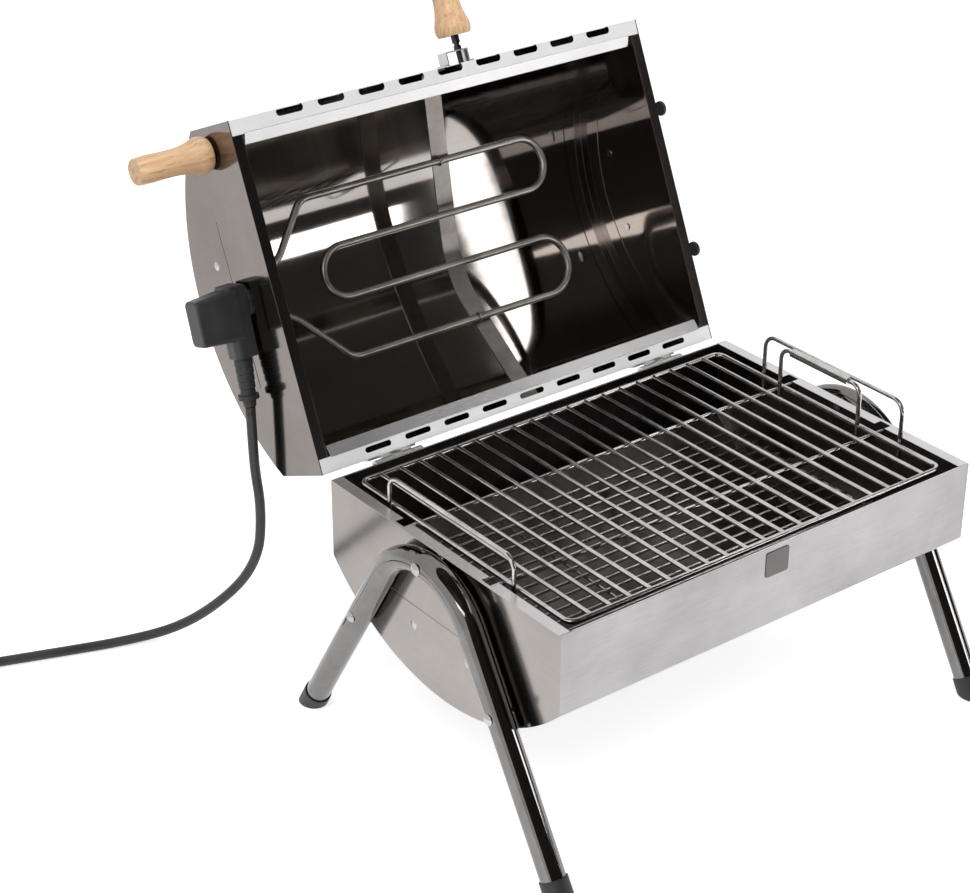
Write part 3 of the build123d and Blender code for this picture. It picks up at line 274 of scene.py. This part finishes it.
FINISHES = {
    FRONT_STEEL: ["trough_shell"],
    LID_OUTSIDE: ["lid_shell"],
    END_STEEL: ["trough_end_left", "trough_end_right"],
    LID_END_STEEL: ["lid_end_left", "lid_end_right"],
    BADGE: ["badge_plate"],
    FIXINGS: [
        "trough_rivets", "leg_pivot_bolts", "leg_pivot_nuts", "leg_pivot_washers", "hinge_pins",
        "lid_rivets", "lid_bumper_stems", "left_leg_detents", "right_leg_detents",
        "element_clips", "side_handle_bolt", "side_handle_washer",
    ],
    BRACKET: ["fire_grate_brackets", "hinge_base_leaves", "hinge_lid_leaves", "front_handle_bracket"],
    CHROME_PAINTED_DARK: ["left_leg_tube", "right_leg_tube"],
    RUBBER: ["left_foot_caps", "right_foot_caps", "lid_bumpers", "strain_relief"],
    WIRE: [
        "cooking_grate", "grate_handle_left", "grate_handle_right", "grate_bail_right",
        "grate_grip", "fire_grate",
    ],
    ELEMENT: ["heating_element"],
    STRIP: ["element_strip"],
    PLASTIC: ["terminal_block", "inlet_socket", "connector_body", "connector_grip", "plug_body"],
    CABLE: ["cord_tube", "cord_coil", "cord_tail"],
    PLUG_METAL: ["plug_pins"],
    SIDE_WOOD: ["side_handle"],
    FRONT_WOOD: ["front_handle"],
    DARK_FIXINGS: ["front_handle_bolt", "front_handle_nuts"],
}
for material, names in FINISHES.items():
    for node_name in names:
        finish_node(node_name, material)


def line_inside(name, material, faces_in):
    """Give the faces that `faces_in` accepts, by centre and normal, their own material."""
    mesh = NODES[name].data
    mesh.materials.append(material)
    slot = len(mesh.materials) - 1
    for face in mesh.polygons:
        if faces_in(face.center, face.normal):
            face.material_index = slot


# Lines along the barrel, inside each half: the inside faces look towards them.
lid_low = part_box("lid_shell")[0]
LID_HEART = Vector((0, lid_low.y + 0.105, lid_low.z + 0.175))
TROUGH_HEART = at(0, 0, 200)
FACING = 0.15  # least cosine between a face's normal and the way to the line


def looks_to(heart):
    """A test of whether a face looks towards a point, seen along the barrel."""

    def test(centre, normal):
        way = heart - centre
        way.x = 0
        return way.normalized().dot(normal) > FACING

    return test


def looks_along(side):
    """A test of whether an end plate's face looks to +X (1) or -X (-1)."""

    def test(centre, normal):
        return normal.x * side > 0.5

    return test


line_inside("lid_shell", LID_INSIDE, looks_to(LID_HEART))
line_inside("trough_shell", TROUGH_INSIDE, looks_to(TROUGH_HEART))
for end, inwards in (("left", 1), ("right", -1)):
    line_inside("lid_end_" + end, LID_INSIDE, looks_along(inwards))
    line_inside("trough_end_" + end, TROUGH_INSIDE, looks_along(inwards))

# The way that the lid's opening faces.
OPENING = Vector((0, -math.sin(math.radians(LID_OPEN)), -math.cos(math.radians(LID_OPEN))))
LIP_DEEP = 0.012  # of the turned-in edges, back from the lid's opening
RIM_DEEP = 0.002  # of the trough's rim, down from its top
FLAT = 0.97  # least cosine for a face that lies in the lid's opening


def near_opening(centre):
    return centre.dot(OPENING) > lid_edge - LIP_DEEP


def on_lid_edge(centre, normal):
    return normal.dot(OPENING) > FLAT and near_opening(centre)


def on_lid_lip(centre, normal):
    return 0.5 < normal.dot(OPENING) <= FLAT and near_opening(centre)


def on_trough_rim(centre, normal):
    return normal.z > 0.9 and centre.z > trough_high.z - RIM_DEEP


lid_edge = max(v.co.dot(OPENING) for v in NODES["lid_shell"].data.vertices)
# Turned-in edges: near-white satin, partly a painted highlight.
line_inside("lid_shell", LIP_SATIN_AND_PAINTED_HIGHLIGHT, on_lid_edge)
# The lid's second bend, and below it the trough's up-facing rim, get the lighter steel, a painted
# highlight.
line_inside("lid_shell", RIM_PAINTED_HIGHLIGHT, on_lid_lip)
for node_name in ("trough_shell", "trough_end_left", "trough_end_right"):
    line_inside(node_name, RIM_PAINTED_HIGHLIGHT, on_trough_rim)


# ---- Lead ----
CORD_RADIUS = 4.5
CORD_SIDES = 20  # round the tube
CORD_ROUTE = [
    (-237.0, 258.0, 261.0),
    (-237.0, 257.3, 231.5),
    (-236.5, 256.4, 197.0),
    (-234.6, 253.5, 170.0),
    (-234.9, 253.8, 142.0),
    (-236.6, 256.5, 117.0),
    (-243.0, 267.0, 89.0),
    (-254.6, 285.0, 62.0),
    (-272.0, 313.0, 31.0),
    (-291.0, 341.0, 9.0),
    (-330.0, 357.0, 4.5),
    (-365.0, 369.0, 4.5),
    (-402.0, 382.5, 4.5),
    (-453.0, 401.0, 4.5),
]
COIL_CENTRE = (-530.0, 374.0)
COIL_STEPS = 16  # points to a turn
COIL_RADIUS = 54.6  # of the outermost turns
COIL_ENTRY = 70.5  # degrees round the coil's centre
COIL_EXIT = 180.0 + 4 * 360.0
# Where the winding moves in or out: from turn, to turn, by how much.
COIL_SHIFTS = [(0.5, 1.0, -9.0), (1.5, 2.0, -9.0), (2.6, 3.15, 9.0), (3.5, 4.0, 9.0)]
LAYERS = (4.5, 13.8)
COIL_RISE = (2.35, 2.8, LAYERS[1] - LAYERS[0])


def eased(turn, shift):
    """The part of a shift that is made by a turn."""
    start, end, amount = shift
    t = min(max((turn - start) / (end - start), 0.0), 1.0)
    return amount * t * t * (3 - 2 * t)


def coil_route():
    """Turns of the coil: three beside each other, then two on top of them."""
    points = []
    step = 360.0 / COIL_STEPS
    grow = 1 / math.cos(math.radians(step / 2))
    count = int((COIL_EXIT - COIL_ENTRY) / step)
    for i in range(count + 1):
        angle = COIL_EXIT - (count - i) * step
        turn = (angle - COIL_ENTRY) / 360.0
        radius = COIL_RADIUS + sum(eased(turn, shift) for shift in COIL_SHIFTS)
        height = LAYERS[0] + eased(turn, COIL_RISE)
        x = COIL_CENTRE[0] + radius * grow * math.cos(math.radians(angle))
        y = COIL_CENTRE[1] + radius * grow * math.sin(math.radians(angle))
        points.append((x, y, height))
    return points


def smooth_line(points):
    """Points along the smooth NURBS line of a route."""
    curve = bpy.data.curves.new("route", "CURVE")
    curve.dimensions = "3D"
    curve.resolution_u = 6
    spline = curve.splines.new("NURBS")
    spline.points.add(len(points) - 1)
    for point, place in zip(spline.points, points):
        point.co = (*at(*place), 1)
    spline.order_u = 3
    spline.use_endpoint_u = True
    guide = bpy.data.objects.new("route", curve)
    bpy.context.scene.collection.objects.link(guide)
    bpy.context.view_layer.update()
    mesh = bpy.data.meshes.new_from_object(guide)
    line = [v.co.copy() for v in mesh.vertices]
    bpy.data.objects.remove(guide)
    bpy.data.meshes.remove(mesh)
    return line


def tube(name, line, radius, sides):
    """Closed round tube along a line."""
    form = bmesh.new()
    rings = []
    up = Vector((1, 0, 0))
    for i, point in enumerate(line):
        way = (line[min(i + 1, len(line) - 1)] - line[max(i - 1, 0)]).normalized()
        side = (up - way * up.dot(way)).normalized()
        up = side
        across = way.cross(side)
        ring = []
        for k in range(sides):
            turn = 2 * math.pi * k / sides
            out = side * math.cos(turn) + across * math.sin(turn)
            ring.append(form.verts.new(point + out * radius))
        rings.append(ring)
    for a, b in zip(rings, rings[1:]):
        for k in range(sides):
            n = (k + 1) % sides
            form.faces.new((a[k], a[n], b[n], b[k]))
    form.faces.new(rings[0][::-1])
    form.faces.new(rings[-1])
    bmesh.ops.recalc_face_normals(form, faces=form.faces)
    return new_piece(name, form)


def new_piece(name, form, smooth=True):
    mesh = bpy.data.meshes.new(name)
    form.to_mesh(mesh)
    form.free()
    for face in mesh.polygons:
        face.use_smooth = smooth
    piece = bpy.data.objects.new(name, mesh)
    bpy.context.scene.collection.objects.link(piece)
    return piece


def make_cord():
    plug_low, plug_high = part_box("plug_body")
    plug_x = (plug_low.x + plug_high.x) / 2
    plug_z = (plug_low.z + plug_high.z) / 2
    # The lead's end in the plug, and the way down to it from the coil's upper layer.
    enters = (Vector((plug_x, plug_high.y, plug_z - 0.5 * MM)) - MIDDLE) / MM
    tail = [
        (enters.x, enters.y + 26, LAYERS[1] + 1.2),
        (enters.x, enters.y + 11, LAYERS[1] + 3.2),
        tuple(enters),
    ]
    line = smooth_line(CORD_ROUTE + coil_route() + tail)
    piece = tube("mains_lead", line, CORD_RADIUS * MM, CORD_SIDES)
    piece.data.materials.append(CABLE)
    length = sum((b - a).length for a, b in zip(line, line[1:]))
    print("lead length", round(length, 4))
    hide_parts("cord_tube", "cord_coil", "cord_tail")
    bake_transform(piece)


make_cord()


# ---- Studio ----
CAMERA_LENS = 88.22
CAMERA_PLACE = (-1189.46, -1316.53, 1201.91)
CAMERA_TURN = (90 - 28.19, -0.09, -37.46)  # degrees
SOFT_LIGHT = 0.5  # strength of the world's light on the set
FLOOR_TONE = 0.86
FLOOR_GLOW = 0.58  # brings the floor up to white for the camera and in reflections
CARD_TONE = (0.03, 0.027, 0.025)
CARD_X = (-1700, 2200)
CARD_Y = (-1350, 500)
CARD_Z = (60, 1700)
HOOP_X = (930, 1020)
HOOP_MIDDLE = (245, 330)  # Y and Z, inside the open lid
HOOP_RADIUS = 1200
HOOP_GLOW = 4.0


def make_camera():
    camera = bpy.data.cameras.new("camera")
    camera.lens = CAMERA_LENS
    camera.sensor_width = 36.0
    camera.clip_end = 50.0
    holder = bpy.data.objects.new("camera", camera)
    bpy.context.scene.collection.objects.link(holder)
    holder.location = at(*CAMERA_PLACE)
    holder.rotation_euler = [math.radians(angle) for angle in CAMERA_TURN]
    bpy.context.scene.camera = holder


def area_light(name, place, target, size, power):
    light = bpy.data.lights.new(name, "AREA")
    light.shape = "RECTANGLE"
    light.size, light.size_y = size
    light.energy = power
    holder = bpy.data.objects.new(name, light)
    bpy.context.scene.collection.objects.link(holder)
    holder.location = place
    holder.rotation_euler = (Vector(target) - Vector(place)).to_track_quat("-Z", "Y").to_euler()
    return holder


def white_rays(tree, path):
    """1 for camera, glossy and transmission rays."""
    seen = path.outputs["Is Camera Ray"]
    for kind in ("Is Glossy Ray", "Is Transmission Ray"):
        either = tree.nodes.new("ShaderNodeMath")
        either.operation = "MAXIMUM"
        tree.links.new(seen, either.inputs[0])
        tree.links.new(path.outputs[kind], either.inputs[1])
        seen = either.outputs[0]
    return seen


def make_world():
    """Even pale light; white to the camera, in reflections and through glass."""
    world = bpy.data.worlds.new("studio")
    bpy.context.scene.world = world
    world.use_nodes = True
    tree = world.node_tree
    tree.nodes.clear()
    output = tree.nodes.new("ShaderNodeOutputWorld")
    path = tree.nodes.new("ShaderNodeLightPath")
    soft = tree.nodes.new("ShaderNodeBackground")
    soft.inputs["Color"].default_value = (1, 1, 1, 1)
    soft.inputs["Strength"].default_value = SOFT_LIGHT
    white = tree.nodes.new("ShaderNodeBackground")
    white.inputs["Color"].default_value = (1, 1, 1, 1)
    white.inputs["Strength"].default_value = 1.0
    mix = tree.nodes.new("ShaderNodeMixShader")
    tree.links.new(white_rays(tree, path), mix.inputs["Fac"])
    tree.links.new(soft.outputs[0], mix.inputs[1])
    tree.links.new(white.outputs[0], mix.inputs[2])
    tree.links.new(mix.outputs[0], output.inputs["Surface"])


def make_floor():
    form = bmesh.new()
    bmesh.ops.create_grid(form, x_segments=1, y_segments=1, size=6.0)
    floor = new_piece("floor", form, smooth=False)
    floor.location = (MIDDLE.x, MIDDLE.y, -0.0005)
    m = Shader("floor_white", Roughness=0.9, Base_Color=(FLOOR_TONE,) * 3)
    path = m.node("ShaderNodeLightPath")
    glow = m.node("ShaderNodeEmission")
    glow.inputs["Strength"].default_value = FLOOR_GLOW
    add = m.node("ShaderNodeAddShader")
    mix = m.node("ShaderNodeMixShader")
    m.link(white_rays(m.tree, path), mix.inputs["Fac"])
    m.link(m.shader.outputs[0], mix.inputs[1])
    m.link(m.shader.outputs[0], add.inputs[0])
    m.link(glow.outputs[0], add.inputs[1])
    m.link(add.outputs[0], mix.inputs[2])
    m.link(mix.outputs[0], m.tree.nodes["Material Output"].inputs["Surface"])
    floor.data.materials.append(m.material)


def show_in_gloss_only(card):
    card.visible_camera = False
    card.visible_diffuse = False
    card.visible_shadow = False


def dark_card(name, corners):
    """A dark sheet beside the set, seen only in reflections."""
    form = bmesh.new()
    form.faces.new([form.verts.new(at(*corner)) for corner in corners])
    card = new_piece(name, form, smooth=False)
    dark = Shader(name, Roughness=1.0, Base_Color=CARD_TONE)
    card.data.materials.append(dark.material)
    show_in_gloss_only(card)


def white_hoop():
    """A bright band round the lid's length, seen only in reflections."""
    form = bmesh.new()
    rows = []
    for angle in range(-20, 120, 10):
        turn = math.radians(angle)
        y = HOOP_MIDDLE[0] - HOOP_RADIUS * math.cos(turn)
        z = HOOP_MIDDLE[1] + HOOP_RADIUS * math.sin(turn)
        rows.append([form.verts.new(at(x, y, z)) for x in HOOP_X])
    for (a, b), (c, d) in zip(rows, rows[1:]):
        form.faces.new((a, b, d, c))
    hoop = new_piece("white_hoop", form)
    bright = Shader("white_hoop", Base_Color=(0, 0, 0), Emission_Color=(1, 1, 1))
    bright.set(Emission_Strength=HOOP_GLOW)
    hoop.data.materials.append(bright.material)
    show_in_gloss_only(hoop)


def make_cards():
    """Surroundings of the open lid: dark in front and over it, with one bright band."""
    left, right = CARD_X
    front, back = CARD_Y
    low, high = CARD_Z
    front_left = (left, front, low)
    front_right = (right, front, low)
    back_right = (right, back, low)
    top_left = (left, front, high)
    top_right = (right, front, high)
    top_back_left = (left, back, high)
    top_back_right = (right, back, high)
    dark_card("front_card", [front_left, front_right, top_right, top_left])
    dark_card("right_card", [front_right, back_right, top_back_right, top_right])
    dark_card("roof_card", [top_left, top_right, top_back_right, top_back_left])
    white_hoop()


def make_studio():
    bpy.context.scene.view_settings.view_transform = "Standard"
    make_camera()
    make_world()
    make_floor()
    make_cards()
    target = at(0, 60, 200)
    area_light("key", at(-1200, -900, 1900), target, (1.2, 1.2), 21)
    fill = area_light("fill", at(1500, -1200, 1300), target, (1.2, 1.2), 11)
    fill.visible_glossy = False  # it would show as a patch in the open lid
    area_light("top", at(0, 300, 2300), target, (1.6, 0.5), 12)
    area_light("low", at(700, -1000, 420), at(-100, 245, 300), (0.28, 0.22), 1.2)


make_studio()
